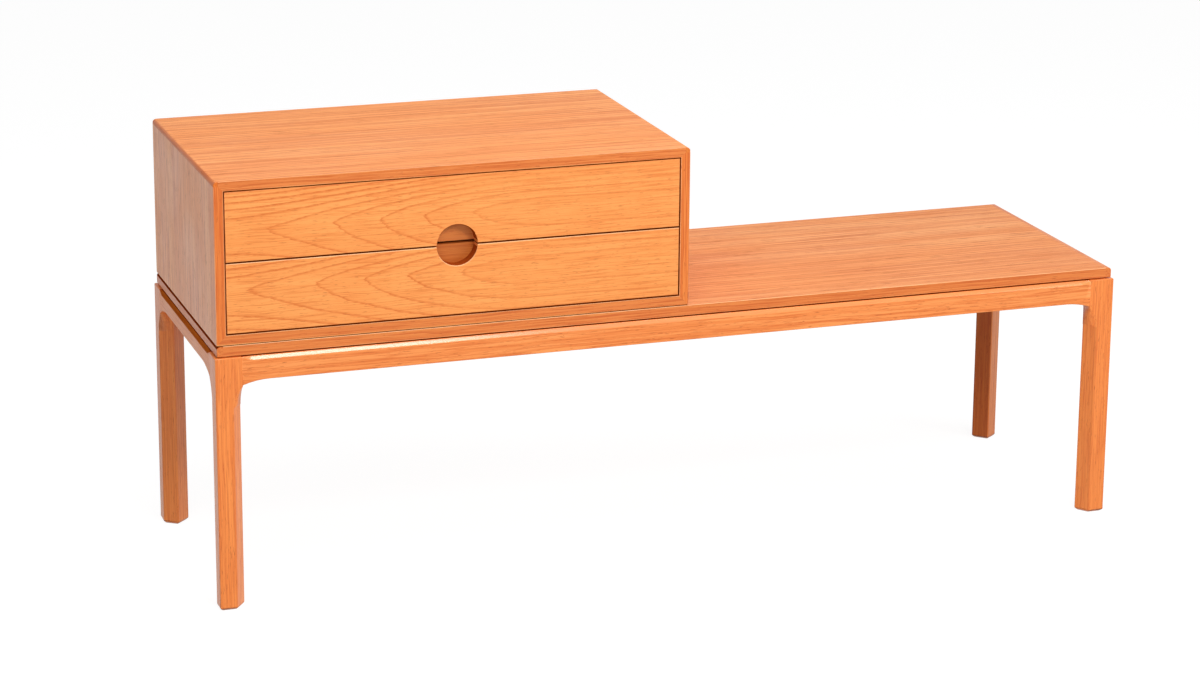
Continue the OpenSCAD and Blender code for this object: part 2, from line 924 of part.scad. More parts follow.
module lower_drawer_front() { color("sandybrown") in_drawer(lower_front_z) drawer_front(0); }
module lower_pull_backing() { color("sienna") in_drawer(lower_front_z) pull_backing(0); }
module lower_drawer_left_side() { color("wheat") in_drawer(lower_front_z) mirror([1, 0, 0]) drawer_side(); }
module lower_drawer_right_side() { color("wheat") in_drawer(lower_front_z) drawer_side(); }
module lower_drawer_back() { color("wheat") in_drawer(lower_front_z) drawer_back(); }
module lower_drawer_bottom() { color("burlywood") in_drawer(lower_front_z) drawer_bottom(0); }
module lower_bottom_screws() { color("silver") in_drawer(lower_front_z) bottom_screws(); }

front_left_leg();
front_right_leg();
back_left_leg();
back_right_leg();
front_rail();
back_rail();
left_rail();
right_rail();
left_bearer();
right_bearer();
board_screws();
seat_board();
board_front_lipping();
board_back_lipping();
board_left_lipping();
board_right_lipping();
case_spacers();
case_screws();
case_top();
case_right_side();
case_bottom();
case_left_side();
case_top_lipping();
case_right_lipping();
case_bottom_lipping();
case_left_lipping();
case_left_corner_strip();
case_right_corner_strip();
mitre_splines();
case_back();
case_back_screws();
upper_left_runner();
upper_right_runner();
lower_left_runner();
lower_right_runner();
runner_screws();
upper_drawer_front();
upper_pull_backing();
upper_drawer_left_side();
upper_drawer_right_side();
upper_drawer_back();
upper_drawer_bottom();
upper_bottom_screws();
lower_drawer_front();
lower_pull_backing();
lower_drawer_left_side();
lower_drawer_right_side();
lower_drawer_back();
lower_drawer_bottom();
lower_bottom_screws();
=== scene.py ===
"""Dresses the telephone bench: oiled teak with grain, softened edges, a pale floor and soft light."""

import math

import bpy
from bpy.props import FloatProperty, FloatVectorProperty, PointerProperty
from mathutils import Matrix, Vector


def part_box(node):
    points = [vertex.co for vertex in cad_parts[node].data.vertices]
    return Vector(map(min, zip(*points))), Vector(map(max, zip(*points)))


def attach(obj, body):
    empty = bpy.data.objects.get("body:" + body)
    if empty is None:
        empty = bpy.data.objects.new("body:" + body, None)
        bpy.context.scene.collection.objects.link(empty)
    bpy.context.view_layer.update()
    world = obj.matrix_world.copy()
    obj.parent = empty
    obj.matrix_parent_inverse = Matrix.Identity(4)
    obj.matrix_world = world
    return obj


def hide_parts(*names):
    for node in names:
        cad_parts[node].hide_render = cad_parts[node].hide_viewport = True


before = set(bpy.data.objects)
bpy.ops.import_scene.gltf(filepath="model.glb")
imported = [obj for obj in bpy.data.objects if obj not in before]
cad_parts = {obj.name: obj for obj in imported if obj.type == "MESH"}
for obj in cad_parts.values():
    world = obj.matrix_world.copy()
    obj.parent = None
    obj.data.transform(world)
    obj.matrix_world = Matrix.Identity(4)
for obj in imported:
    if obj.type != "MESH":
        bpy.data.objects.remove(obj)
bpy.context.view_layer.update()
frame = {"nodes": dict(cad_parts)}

bl_info = {
    "name": "Telephone Bench",
    "version": (1, 0, 0),
    "blender": (4, 5, 0),
    "location": "View3D > Sidebar > Bench",
    "description": "Builds the finished pieces, woods and stage of a teak telephone bench",
    "category": "Object",
}

# Groups of CAD nodes
LEGS = ("front_left_leg", "front_right_leg", "back_left_leg", "back_right_leg")
RAILS = ("front_rail", "back_rail", "left_rail", "right_rail")
CASE_PANELS = ("case_top", "case_bottom", "case_left_side", "case_right_side")
BEARERS = ("left_bearer", "right_bearer")
RUNNERS = ("upper_left_runner", "upper_right_runner", "lower_left_runner", "lower_right_runner")
LEVEL_PLY = ("upper_drawer_bottom", "lower_drawer_bottom", "case_spacers", "mitre_splines")
SCREWS = (
    "board_screws",
    "case_screws",
    "case_back_screws",
    "runner_screws",
    "upper_bottom_screws",
    "lower_bottom_screws",
)

# Angles and distances for cleaning, rounding and smoothing the meshes
MERGE_DISTANCE = 0.000002
FLAT_ANGLE = math.radians(0.4)
SHARP_ANGLE = math.radians(25.0)
SMOOTH_ANGLE = math.radians(50.0)
BEVEL_STEPS = 2

# Limits that tell edges and faces apart, in metres or as parts of a direction of length 1
SAME_PLACE = 0.00005
SAME_LEVEL = 0.0001
SLIGHTLY = 0.1
SLOPING = 0.2
MOSTLY = 0.5
FACING = 0.9
ALONG = 0.95
LEVEL = 0.97
SQUARE = 0.99
LOWEST_EDGE = 0.001
FRONT_EDGE = 0.002
BEHIND_FRONT = 0.001
LONG_LEG_EDGE = 0.03
LONG_CASE_EDGE = 0.1
FOOT_BEVEL_BOTTOM, FOOT_BEVEL_TOP = 0.0005, 0.0045
RAIL_END = 0.0185
RAIL_FACE = 0.003
RAIL_UPPER_PART = 0.006
RAIL_BEVEL_PART = 0.025
UNDER_CASE = 0.0005
CASE_INSIDE = 0.005
STRIP_UPPER_PART = 0.5345

# Camera, solved from the edges in the photograph
CAMERA_PLACE = (-1.43417, -4.00455, 1.51918)
CAMERA_YAW = math.radians(19.050)
CAMERA_PITCH = math.radians(15.039)
CAMERA_ROLL = math.radians(0.4324)
CAMERA_SHIFT = -0.0825
SENSOR_WIDTH = 36.0
CLIP_NEAR, CLIP_FAR = 0.05, 200.0

# Lamps, floor and surroundings
LAMP_AIM = Vector((-0.2, -0.178, 0.3))
WHITE = (1.0, 1.0, 1.0, 1.0)
FLOOR_BOUNCE = (0.5, 0.5, 0.5, 1.0)
FLOOR_SHADOWS = (0.2, 0.2, 0.2, 1.0)
FLOOR_GLOW = 0.90

# Tones of the wood's figure, as factors of its ground colour
WARM_TONE = (0.95, 0.82, 0.72)
DARK_TONE = (0.84, 0.63, 0.46)
LINE_TONE = (0.69, 0.37, 0.21)
FLECK_TONE = (0.74, 0.48, 0.32)
PORE_TONE = (0.46, 0.25, 0.15)

# Tones of single pieces and faces, as factors of their wood's colour
# The back legs are toned a little darker: painted shade under the seat board
LEG_SHADES = (1.0, 1.0, 0.95, 0.92)
# Darker tone for the back right leg's left-facing faces: painted shade under the seat board
INNER_FACE_SHADE_TONE = (0.58, 0.48, 0.38)
RAIL_BEVEL_TONE = (0.96, 0.84, 0.62)
# Dark dull tone for the side rails' bevels: painted shadow of the seat board
SIDE_BEVEL_SHADE_TONE = (0.64, 0.48, 0.22)
BOARD_TONE = (0.955, 0.97, 1.04)
UPRIGHT_LIPPING_TONE = (1.04, 0.95, 0.76)
# The left corner strip is toned darker than the right: painted shade
LEFT_STRIP_SHADE_TONE = (1.0, 0.88, 0.75)
# Dark tones for faces in the gaps, under the case and under the upper drawer front: painted shade
JOINT_SHADE_TONE = (0.42, 0.20, 0.10)
FRONT_JOINT_SHADE_TONE = (0.40, 0.20, 0.10)
CASE_FOOT_SHADE_TONE = (0.22, 0.10, 0.05)
FRONT_FOOT_SHADE_TONE = (0.13, 0.05, 0.025)
# Pale colour the rounded upper edges are mixed towards: painted highlight
PAINTED_HIGHLIGHT = (1.0, 0.74, 0.46)

# What every growth ring starts from, unless a wood says otherwise
RING_FIGURES = {
    "Heart Depth": 0.05,
    "Heart Height": 0.0,
    "Taper": 0.01,
    "Swell": 0.0,
    "Swell Start": 0.0,
    "Swell End": 1.0,
    "Upper Squeeze": 1.0,
    "Lower Squeeze": 1.0,
    "Point": 0.0,
    "Serration": 0.004,
    "Pitch": 0.004,
    "Waviness": 0.006,
    "Line Width": 0.0013,
}

# Strength of each part of a wood's look, unless the wood says otherwise
WOOD_LOOKS = {
    "line": 0.5,
    "streak": 0.35,
    "band": 0.4,
    "cloud": 0.3,
    "fleck": 0.25,
    "pore": 0.3,
    "pore_share": 0.5,
    "rough": 0.42,
    "specular": 0.3,
    "coat": 0.0,
    "coat_rough": 0.25,
    "bump": 0.25,
    "fade": None,
    "depth": 1.0,
    "fibre_scale": (1.0, 1.0),
}
LEG_LOOKS = {
    "line": 0.4,
    "streak": 0.7,
    "band": 0.6,
    "fleck": 0.7,
    "pore": 0.7,
    "coat": 0.32,
    "coat_rough": 0.2,
}
RAIL_LOOKS = {"streak": 0.7, "fleck": 0.8, "pore": 0.8}
TOP_LOOKS = {
    "line": 0.8,
    "streak": 0.9,
    "band": 1.0,
    "cloud": 0.6,
    "fleck": 0.9,
    "pore": 0.7,
    "specular": 0.22,
    "rough": 0.55,
    "depth": 1.25,
    "fibre_scale": (0.35, 0.65),
}
SIDE_LOOKS = {
    "line": 0.4,
    "streak": 0.7,
    "band": 0.6,
    "cloud": 0.4,
    "fleck": 0.7,
    "pore": 0.9,
    "specular": 0.9,
    "depth": 1.8,
    "fibre_scale": (0.7, 0.55),
}
LIPPING_LOOKS = {
    "line": 0.4,
    "streak": 0.7,
    "fleck": 0.8,
    "pore": 0.8,
    "coat": 0.15,
    "coat_rough": 0.2,
}
FRONT_LOOKS = {
    "line": 1.0,
    "streak": 0.3,
    "band": 0.5,
    "cloud": 0.6,
    "fleck": 0.65,
    "pore": 0.6,
    "pore_share": 0.6,
    "fade": (-0.36, -0.25, 1.0, 0.5),
}

# Arched growth figure of the drawer fronts
FRONT_RINGS = {
    "Heart Depth": 0.1015,
    "Taper": 0.0,
    "Swell": 0.0175,
    "Swell Start": -0.585,
    "Swell End": -0.175,
    "Upper Squeeze": 1.11,
    "Lower Squeeze": 0.67,
    "Point": 0.015,
    "Serration": 0.010,
    "Pitch": 0.0036,
    "Waviness": 0.0022,
    "Line Width": 0.0032,
}

# Each drawer's name, the heart's height and shift along its front, and the tone behind its pull
DRAWERS = (
    ("upper", 0.0386, 0.0, (1.03, 1.10, 1.10)),
    ("lower", 0.0545, -0.0165, (0.88, 0.90, 0.72)),
)

# Turns from the object's axes to the grain's, which runs along X with Y into the wood
GRAIN_TURNS = {
    "along_x_front": (0.0, 0.0, 0.0),
    "along_x_top": (math.pi / 2, 0.0, 0.0),
    "along_y": (0.0, 0.0, -math.pi / 2),
    "upright": (0.0, math.pi / 2, 0.0),
}


def length_property(name, description, default):
    """A length in metres for the sidebar."""
    return FloatProperty(
        name=name, description=description, default=default, min=0.0, unit="LENGTH", precision=5
    )


def power_property(name, description, default):
    """A lamp's power for the sidebar."""
    return FloatProperty(name=name, description=description, default=default, min=0.0, unit="POWER")


def colour_property(name, description, default):
    """A wood's ground colour for the sidebar."""
    return FloatVectorProperty(
        name=name,
        description=description,
        default=default,
        min=0.0,
        max=1.0,
        size=3,
        subtype="COLOR",
    )


class BenchEdges(bpy.types.PropertyGroup):
    """How far the edges of the wooden pieces are rounded."""

    leg: length_property("Legs", "Rounding of the edges between a leg's faces", 0.0012)
    rail: length_property("Rails", "Rounding along the edges of the rails", 0.0008)
    board: length_property("Seat board", "Rounding along the edges of the seat board", 0.0006)
    case: length_property("Case", "Rounding along the front edges of the case", 0.0007)
    front: length_property("Drawer fronts", "Rounding of the fronts and the finger pull", 0.0008)
    inner: length_property("Drawer boxes", "Rounding along the edges of the drawer boxes", 0.0008)


class BenchWoods(bpy.types.PropertyGroup):
    """Colours of the woods, each as its light ground."""

    frame: colour_property("Legs", "Teak of the legs", (0.93, 0.302, 0.064))
    rail: colour_property("Rails", "Teak of the rails", (0.925, 0.328, 0.093))
    top: colour_property("Tops", "Veneer of the seat board and the case's top", (1.0, 0.447, 0.168))
    side: colour_property("Sides", "Veneer of the case's sides", (1.0, 0.455, 0.16))
    edge: colour_property("Lippings", "Teak of lippings and corner strips", (0.765, 0.238, 0.052))
    front: colour_property("Drawer fronts", "Teak of the two drawer fronts", (0.95, 0.378, 0.104))
    pull: colour_property("Pull backings", "Teak behind the finger pull", (0.67, 0.195, 0.041))
    box: colour_property("Drawer boxes", "Wood of the drawer sides and backs", (0.68, 0.42, 0.20))
    beech: colour_property("Bearers", "Beech of the bearers and runners", (0.64, 0.43, 0.24))
    ply: colour_property("Plywood", "Veneer of the back and the drawer bottoms", (0.68, 0.39, 0.17))


class BenchStage(bpy.types.PropertyGroup):
    """Light and camera of the stage."""

    fill: FloatProperty(
        name="Fill",
        description="Strength of the even light from all sides",
        default=0.30,
        min=0.0,
    )
    key: power_property("Key", "Power of the lamp that glints in the rail's bevel", 44.0)
    front: power_property("Front", "Power of the large lamp at the front", 22.0)
    side: power_property("Side", "Power of the large lamp at the right", 24.0)
    overhead: power_property("Overhead", "Power of the large lamp above", 38.0)
    lens: FloatProperty(
        name="Lens",
        description="Focal length of the camera",
        default=101.77,
        min=1.0,
        unit="CAMERA",
    )
    floor: length_property("Floor", "Width of the floor", 60.0)


# Shader nodes


def add_node(tree, kind, inputs=None, **settings):
    """Adds a node, sets it up and gives its inputs values or links them to sockets."""
    node = tree.nodes.new(kind)
    for name, value in settings.items():
        setattr(node, name, value)
    for key, value in (inputs or {}).items():
        socket = node.inputs[key]
        if isinstance(value, bpy.types.NodeSocket):
            tree.links.new(value, socket)
        else:
            socket.default_value = value
    return node


def maths(tree, operation, *values):
    """A Math node's result for these values or sockets."""
    return add_node(tree, "ShaderNodeMath", dict(enumerate(values)), operation=operation).outputs[0]


def plus(tree, first, second):
    """Sum of two values or sockets."""
    return maths(tree, "ADD", first, second)


def minus(tree, first, second):
    """Difference of two values or sockets."""
    return maths(tree, "SUBTRACT", first, second)


def times(tree, first, second):
    """Product of two values or sockets."""
    return maths(tree, "MULTIPLY", first, second)


def step_up(tree, value, low, high, out_low=0.0, out_high=1.0):
    """Smooth step from out_low to out_high as value goes from low to high."""
    return add_node(
        tree,
        "ShaderNodeMapRange",
        {"Value": value, "From Min": low, "From Max": high, "To Min": out_low, "To Max": out_high},
        interpolation_type="SMOOTHSTEP",
    ).outputs["Result"]


def length_of(tree, first, second):
    """Length of the vector with these two parts."""
    squares = plus(tree, times(tree, first, first), times(tree, second, second))
    return maths(tree, "SQRT", squares)


def stretched(tree, vector, along, across):
    """The vector times along in X and times across in Y and Z."""
    factors = (along, across, across)
    node = add_node(tree, "ShaderNodeVectorMath", {0: vector, 1: factors}, operation="MULTIPLY")
    return node.outputs["Vector"]


def noise(tree, vector, scale, detail=2.0, roughness=0.5):
    """Soft spots with values from 0 to 1."""
    inputs = {"Vector": vector, "Scale": scale, "Detail": detail, "Roughness": roughness}
    return add_node(tree, "ShaderNodeTexNoise", inputs).outputs["Fac"]


def grain_noise(tree, vector, along, across, detail=2.0, roughness=0.5):
    """Noise with so many spots per metre along the grain and across it."""
    return noise(tree, stretched(tree, vector, along, across), 1.0, detail, roughness)


def centred_noise(tree, vector, along, across, detail=2.0, roughness=0.5):
    """Noise of the grain that swings about zero."""
    return minus(tree, grain_noise(tree, vector, along, across, detail, roughness), 0.5)


def new_group(name, inputs, outputs):
    """Empty node group with float inputs (and a Vector first) and float outputs."""
    tree = bpy.data.node_groups.new(name, "ShaderNodeTree")
    tree.interface.new_socket("Vector", in_out="INPUT", socket_type="NodeSocketVector")
    for socket, default in inputs.items():
        made = tree.interface.new_socket(socket, in_out="INPUT", socket_type="NodeSocketFloat")
        made.default_value = default
    for socket in outputs:
        tree.interface.new_socket(socket, in_out="OUTPUT", socket_type="NodeSocketFloat")
    return tree, tree.nodes.new("NodeGroupInput"), tree.nodes.new("NodeGroupOutput")


def growth_ring_group():
    """Thin dark lines where the board's face cuts the yearly rings of a slightly tapered trunk.

    The grain runs along X, Z lies across the face and Y goes into the wood.
    """
    tree, source, result = new_group("Growth Rings", RING_FIGURES, ("Line", "Ring"))
    asked = source.outputs
    vector = asked["Vector"]
    place = add_node(tree, "ShaderNodeSeparateXYZ", {"Vector": vector}).outputs

    # The rings' unevenness, and the fibres that fray them along the grain
    wave = centred_noise(tree, vector, 3.0, 14.0)
    ripple = centred_noise(tree, vector, 30.0, 90.0, 3.0, 0.6)
    shift = times(tree, plus(tree, wave, times(tree, ripple, 0.3)), asked["Waviness"])
    fibres = centred_noise(tree, vector, 45.0, 700.0, 1.0)
    along = plus(tree, place["X"], times(tree, fibres, asked["Serration"]))

    # Distance from the heart across the face, squeezed above and below it
    height = minus(tree, place["Z"], asked["Heart Height"])
    zone, blunt = 0.008, 0.001
    squeeze = step_up(tree, height, -zone, zone, asked["Lower Squeeze"], asked["Upper Squeeze"])
    squared = times(tree, height, height)
    pointed = minus(tree, maths(tree, "SQRT", plus(tree, squared, blunt**2)), blunt)
    spread = plus(tree, squared, times(tree, pointed, asked["Point"]))
    across = times(tree, maths(tree, "SQRT", spread), squeeze)

    # Depth of the heart below the face, less what the trunk gains by taper and swell
    reach = {"Value": along, "From Min": asked["Swell Start"], "From Max": asked["Swell End"]}
    share = add_node(tree, "ShaderNodeMapRange", reach).outputs["Result"]
    smooth = maths(tree, "MULTIPLY_ADD", share, -2.0, 3.0)
    swell = times(tree, times(tree, share, share), smooth)
    gained = plus(tree, times(tree, along, asked["Taper"]), times(tree, swell, asked["Swell"]))
    depth = plus(tree, minus(tree, asked["Heart Depth"], gained), place["Y"])

    # Place between two rings
    radius = length_of(tree, across, depth)
    phase = maths(tree, "DIVIDE", plus(tree, radius, shift), asked["Pitch"])
    ring = maths(tree, "FRACT", phase)

    # Spacing of the rings on the face, from the slope of the radius there
    climb = times(tree, maths(tree, "MULTIPLY_ADD", share, -6.0, 6.0), share)
    length = minus(tree, asked["Swell End"], asked["Swell Start"])
    steady = maths(tree, "DIVIDE", asked["Swell"], length)
    gain = maths(tree, "MULTIPLY_ADD", climb, steady, asked["Taper"])
    sideways = maths(tree, "MULTIPLY_ADD", asked["Point"], 0.5, maths(tree, "ABSOLUTE", height))
    steep = times(tree, sideways, times(tree, squeeze, squeeze))
    slope = maths(tree, "DIVIDE", length_of(tree, steep, times(tree, depth, gain)), radius)
    flattest = 0.02
    spacing = maths(tree, "DIVIDE", asked["Pitch"], maths(tree, "MAXIMUM", slope, flattest))

    # A line that rises slowly to the ring and falls quickly behind it, stronger in some years
    tail, faintest = 0.35, 0.75
    before = times(tree, minus(tree, 1.0, ring), spacing)
    after = times(tree, ring, spacing)
    rise = step_up(tree, before, 0.0, asked["Line Width"], 1.0, 0.0)
    fall = step_up(tree, after, 0.0, times(tree, asked["Line Width"], tail), 1.0, 0.0)
    year = {"W": maths(tree, "ROUND", phase)}
    chance = add_node(tree, "ShaderNodeTexWhiteNoise", year, noise_dimensions="1D").outputs["Value"]
    strength = step_up(tree, chance, 0.0, 1.0, faintest, 1.0)
    line = times(tree, maths(tree, "MAXIMUM", rise, fall), strength)
    tree.links.new(line, result.inputs["Line"])
    tree.links.new(ring, result.inputs["Ring"])


def fibre_group():
    """Streaks, flecks and open pores that run along X."""
    names = ("Band", "Streak", "Fleck", "Pore", "Mottle", "Ripple")
    tree, source, result = new_group("Wood Fibre", {"Pore Share": WOOD_LOOKS["pore_share"]}, names)
    vector = source.outputs["Vector"]
    sway = times(tree, grain_noise(tree, vector, 7.0, 3.0), 0.006)
    aside = add_node(tree, "ShaderNodeCombineXYZ", {"Z": sway}).outputs["Vector"]
    swayed = add_node(
        tree, "ShaderNodeVectorMath", {0: vector, 1: aside}, operation="ADD"
    ).outputs["Vector"]
    band = grain_noise(tree, swayed, 1.1, 24.0, 4.0, 0.6)
    streak = grain_noise(tree, swayed, 3.0, 300.0, 3.0, 0.65)
    fleck = grain_noise(tree, swayed, 14.0, 850.0, 2.0, 0.6)
    pore = grain_noise(tree, swayed, 75.0, 1200.0, 2.0, 0.55)
    limit = minus(tree, 0.76, times(tree, source.outputs["Pore Share"], 0.25))
    values = (
        step_up(tree, band, 0.34, 0.66),
        step_up(tree, streak, 0.42, 0.62),
        step_up(tree, fleck, 0.50, 0.62),
        step_up(tree, pore, limit, plus(tree, limit, 0.06)),
        grain_noise(tree, vector, 9.0, 16.0, 3.0, 0.6),
        grain_noise(tree, vector, 120.0, 300.0, 2.0, 0.6),
    )
    for name, value in zip(names, values):
        tree.links.new(value, result.inputs[name])


def blend_colour(tree, share, first, second):
    """Mix of two colours or colour sockets."""
    node = add_node(tree, "ShaderNodeMix", {"Factor": share}, data_type="RGBA")
    for key, value in ((6, first), (7, second)):
        if isinstance(value, bpy.types.NodeSocket):
            tree.links.new(value, node.inputs[key])
        else:
            node.inputs[key].default_value = (*value, 1.0)
    return node.outputs[2]


def toned(colour, tone, depth=1.0):
    """The colour times the tone's factors, each to the power of depth."""
    return tuple(part * factor**depth for part, factor in zip(colour, tone))


def new_material(name):
    """A material with its node tree and the tree's shader."""
    material = bpy.data.materials.new(name)
    material.use_nodes = True
    return material, material.node_tree, material.node_tree.nodes["Principled BSDF"]


def wood(name, colour, grain, place=(0.0, 0.0, 0.0), rings=None, looks=None):
    """Oiled wood whose grain runs as GRAIN_TURNS says, from its own part of the trunk."""
    looks = {**WOOD_LOOKS, **(looks or {})}
    material, tree, shader = new_material(name)
    where = add_node(tree, "ShaderNodeTexCoord").outputs["Object"]
    turned = {"Vector": where, "Rotation": GRAIN_TURNS[grain], "Location": place}
    moved = add_node(tree, "ShaderNodeMapping", turned).outputs["Vector"]

    growth = add_node(tree, "ShaderNodeGroup", node_tree=bpy.data.node_groups["Growth Rings"])
    tree.links.new(moved, growth.inputs["Vector"])
    for key, value in (rings or {}).items():
        growth.inputs[key].default_value = value
    line = growth.outputs["Line"]
    if looks["fade"]:
        along = add_node(tree, "ShaderNodeSeparateXYZ", {"Vector": where}).outputs["X"]
        line = times(tree, line, step_up(tree, along, *looks["fade"]))

    fibre_node = add_node(tree, "ShaderNodeGroup", node_tree=bpy.data.node_groups["Wood Fibre"])
    scaled = stretched(tree, moved, *looks["fibre_scale"])
    tree.links.new(scaled, fibre_node.inputs["Vector"])
    fibre_node.inputs["Pore Share"].default_value = looks["pore_share"]
    fibre = fibre_node.outputs

    clouds = step_up(tree, fibre["Mottle"], 0.42, 0.68)
    broken = step_up(tree, fibre["Ripple"], 0.38, 0.60, 0.6, 1.0)
    mixed = colour
    for mask, share, tone in (
        (fibre["Band"], looks["band"], WARM_TONE),
        (fibre["Streak"], looks["streak"], DARK_TONE),
        (growth.outputs["Ring"], looks["line"] * 0.25, DARK_TONE),
        (clouds, looks["cloud"], WARM_TONE),
        (times(tree, line, broken), looks["line"], LINE_TONE),
        (fibre["Fleck"], looks["fleck"], FLECK_TONE),
        (fibre["Pore"], looks["pore"], PORE_TONE),
    ):
        darker = toned(colour, tone, looks["depth"])
        mixed = blend_colour(tree, times(tree, mask, share), mixed, darker)
    tree.links.new(mixed, shader.inputs["Base Color"])

    rough = looks["rough"]
    uneven = step_up(tree, fibre["Mottle"], 0.3, 0.7, rough - 0.04, rough + 0.05)
    dulled = plus(tree, uneven, times(tree, fibre["Pore"], 0.2))
    tree.links.new(dulled, shader.inputs["Roughness"])
    hollows = plus(tree, fibre["Pore"], times(tree, line, 0.3))
    height = minus(tree, times(tree, fibre["Streak"], 0.2), hollows)
    relief = {"Strength": looks["bump"], "Distance": 0.0002, "Height": height}
    bump = add_node(tree, "ShaderNodeBump", relief)
    tree.links.new(bump.outputs["Normal"], shader.inputs["Normal"])
    shader.inputs["Specular IOR Level"].default_value = looks["specular"]
    shader.inputs["Coat Weight"].default_value = looks["coat"]
    shader.inputs["Coat Roughness"].default_value = looks["coat_rough"]
    return material


def shaded_wood(name, colour, tone=JOINT_SHADE_TONE):
    """Wood in a joint or gap, dull and dark: painted shade where the gap falls in shadow."""
    looks = {"line": 0.2, "fleck": 0.4, "rough": 0.8, "specular": 0.0}
    return wood(name, toned(colour, tone), "along_x_front", looks=looks)


def highlight_wood(name, colour, pale=0.0):
    """Polished wood of an arris, paler by this share as a painted highlight."""
    coat = 0.8 if pale == 0.0 else 0.1
    return wood(
        name,
        tuple(part + (light - part) * pale for part, light in zip(colour, PAINTED_HIGHLIGHT)),
        "along_x_front",
        looks={"line": 0.1, "fleck": 0.3, "coat": coat, "coat_rough": 0.15},
    )


def steel(name):
    """Zinc-plated steel with fine turning marks and dull spots."""
    material, tree, shader = new_material(name)
    where = add_node(tree, "ShaderNodeTexCoord").outputs["Object"]
    fine = noise(tree, where, 2400.0, 3.0)
    spots = noise(tree, where, 350.0)
    bright, dull = (0.60, 0.59, 0.56), (0.42, 0.40, 0.36)
    mixed = blend_colour(tree, step_up(tree, spots, 0.4, 0.7), bright, dull)
    tree.links.new(mixed, shader.inputs["Base Color"])
    tree.links.new(step_up(tree, spots, 0.3, 0.7, 0.25, 0.45), shader.inputs["Roughness"])
    bump = add_node(tree, "ShaderNodeBump", {"Strength": 0.15, "Distance": 0.0001, "Height": fine})
    tree.links.new(bump.outputs["Normal"], shader.inputs["Normal"])
    shader.inputs["Metallic"].default_value = 1.0
    return material


def show_to(tree, output, rays, others, seen):
    """Ends the tree in the shader seen for these kinds of rays and in others for the rest."""
    path = add_node(tree, "ShaderNodeLightPath").outputs
    share = path[rays[0]]
    for ray in rays[1:]:
        share = maths(tree, "MAXIMUM", share, path[ray])
    ends = {0: share, 1: others.outputs[0], 2: seen.outputs[0]}
    mixed = add_node(tree, "ShaderNodeMixShader", ends)
    add_node(tree, output, {"Surface": mixed.outputs[0]})


def studio_world(fill):
    """White surroundings, and an even light of strength fill on the bench."""
    world = bpy.data.worlds.new("Studio")
    world.use_nodes = True
    tree = world.node_tree
    tree.nodes.clear()
    light = add_node(tree, "ShaderNodeBackground", {"Color": WHITE, "Strength": fill})
    white = add_node(tree, "ShaderNodeBackground", {"Color": WHITE, "Strength": 1.0})
    rays = ("Is Camera Ray", "Is Glossy Ray", "Is Transmission Ray")
    show_to(tree, "ShaderNodeOutputWorld", rays, light, white)
    return world


def pale_floor():
    """Nearly white floor with soft shadows, which throws back only a part of the light."""
    material, tree, _ = new_material("pale_floor")
    tree.nodes.clear()
    bounce = add_node(tree, "ShaderNodeBsdfDiffuse", {"Color": FLOOR_BOUNCE})
    shadows = add_node(tree, "ShaderNodeBsdfDiffuse", {"Color": FLOOR_SHADOWS})
    glow = add_node(tree, "ShaderNodeEmission", {"Color": WHITE, "Strength": FLOOR_GLOW})
    both = add_node(tree, "ShaderNodeAddShader", {0: shadows.outputs[0], 1: glow.outputs[0]})
    rays = ("Is Camera Ray", "Is Glossy Ray")
    show_to(tree, "ShaderNodeOutputMaterial", rays, bounce, both)
    return material


def camera_turn(yaw, pitch, roll):
    """Matrix of a view along Y that is turned right by yaw, down by pitch and then rolled."""
    level = math.cos(pitch)
    ahead = Vector((math.sin(yaw) * level, math.cos(yaw) * level, -math.sin(pitch)))
    aside = Vector((math.cos(yaw), -math.sin(yaw), 0.0))
    upward = aside.cross(ahead)
    right = aside * math.cos(roll) + upward * math.sin(roll)
    up = upward * math.cos(roll) - aside * math.sin(roll)
    return Matrix((right, up, -ahead)).transposed().to_4x4()


# Pieces


def rest_selection():
    """Leaves edit mode and selects nothing."""
    if bpy.context.object and bpy.context.object.mode != "OBJECT":
        bpy.ops.object.mode_set(mode="OBJECT")
    bpy.ops.object.select_all(action="DESELECT")


def take_up(piece):
    """Makes the piece the only one selected and the active one."""
    rest_selection()
    piece.select_set(True)
    bpy.context.view_layer.objects.active = piece


def open_mesh(piece, kind, action):
    """Starts editing the piece's mesh with all or none of its elements of this kind selected."""
    take_up(piece)
    bpy.ops.object.mode_set(mode="EDIT")
    bpy.ops.mesh.select_mode(type=kind)
    bpy.ops.mesh.select_all(action=action)


def close_mesh():
    """Ends editing with no element selected."""
    bpy.ops.mesh.select_all(action="DESELECT")
    bpy.ops.object.mode_set(mode="OBJECT")


def select_only(piece, kind, pick):
    """Selects the elements of this kind that pick() lists, and starts editing the mesh."""
    open_mesh(piece, kind, "DESELECT")
    close_mesh()
    for element in pick():
        element.select = True
    bpy.ops.object.mode_set(mode="EDIT")


def merged_copy(node, name):
    """A copy of a CAD node's mesh, merged and freed of the lines inside its flat faces."""
    original = frame["nodes"][node]
    piece = bpy.data.objects.new(name, original.data.copy())
    bpy.context.scene.collection.objects.link(piece)
    open_mesh(piece, "VERT", "SELECT")
    bpy.ops.mesh.remove_doubles(threshold=MERGE_DISTANCE)
    bpy.ops.mesh.dissolve_limited(angle_limit=FLAT_ANGLE)
    close_mesh()
    return piece


def sharp_edges(piece):
    """Edges between faces that turn sharply, with their middle and direction."""
    mesh = piece.data
    faces = {}
    for polygon in mesh.polygons:
        for key in polygon.edge_keys:
            faces.setdefault(key, []).append(polygon.normal)
    for edge in mesh.edges:
        normals = faces.get(tuple(sorted(edge.vertices)), [])
        if len(normals) == 2 and normals[0].angle(normals[1], 0.0) >= SHARP_ANGLE:
            first, second = (mesh.vertices[i].co for i in edge.vertices)
            yield edge, (first + second) / 2, second - first


